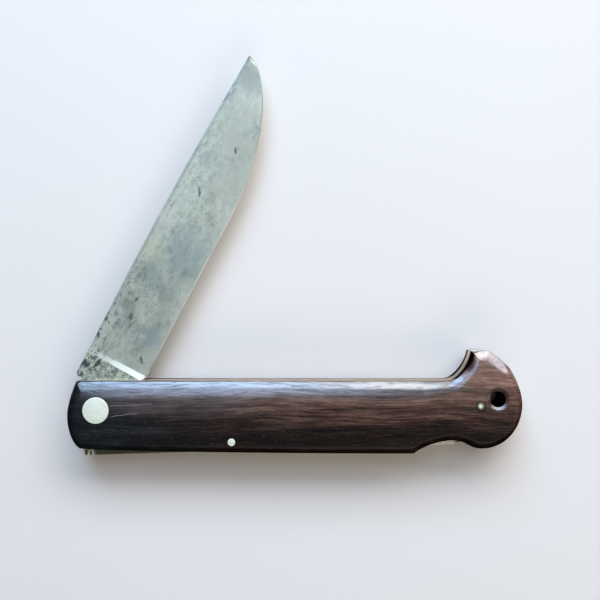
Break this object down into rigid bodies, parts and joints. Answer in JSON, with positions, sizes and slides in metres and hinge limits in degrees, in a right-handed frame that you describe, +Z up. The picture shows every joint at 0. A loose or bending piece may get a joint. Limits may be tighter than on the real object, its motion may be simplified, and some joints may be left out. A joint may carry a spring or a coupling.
{
  "type": "folding pocket knife",
  "caption": "Lock-back folding pocket knife, half open, with wooden scales on thin liners, a beaked butt with a lanyard hole, and a rocking lock bar in its back edge.",
  "frame": {"origin": "on the surface that the knife lies on, under the middle of its box with the blade half open", "axes": "+X along the handle from the pivot towards the butt, +Y towards the side where the blade opens, +Z up through the handle's thickness, out of the front scale"},
  "size_m": [0.121, 0.108, 0.013],
  "materials": {
    "rosewood": "satin, worn, near black at the front",
    "brass": "aged satin",
    "brass_pin": "aged, slightly peened",
    "nickel_silver": "filed flush, satin",
    "pin_steel": "plain",
    "spacer_steel": "tarnished satin",
    "spring_steel": "tempered, dark",
    "bar_steel": "tarnished satin",
    "blade_steel": "grey-green patina, pitted"
  },
  "bodies": {
    "handle": {"front_scale": "rosewood", "rear_scale": "rosewood", "front_liner": "brass", "rear_liner": "brass", "butt_spacer": "spacer_steel", "lock_spring": "spring_steel", "front_pivot_rosette": "nickel_silver", "rear_pivot_rosette": "nickel_silver", "pivot_pin": "pin_steel", "lock_bar_pin": "nickel_silver", "butt_pin": "brass_pin"},
    "blade": {"blade": "blade_steel"},
    "lock_bar": {"lock_bar": "bar_steel"}
  },
  "joints": [
    {"name": "blade_pivot", "type": "hinge", "parent": "handle", "child": "blade", "pos_m": [-0.0525, -0.04135, 0.0065], "axis": [0, 0, 1], "range_deg": [-60, 119]},
    {"name": "lock_bar_rocker", "type": "hinge", "parent": "handle", "child": "lock_bar", "pos_m": [-0.0167, -0.0497, 0.0065], "axis": [0, 0, 1], "range_deg": [0, 1.2], "stiffness_Nm_per_rad": 1.5, "springref_deg": -11.46, "deforming": ["lock_spring"]}
  ]
}
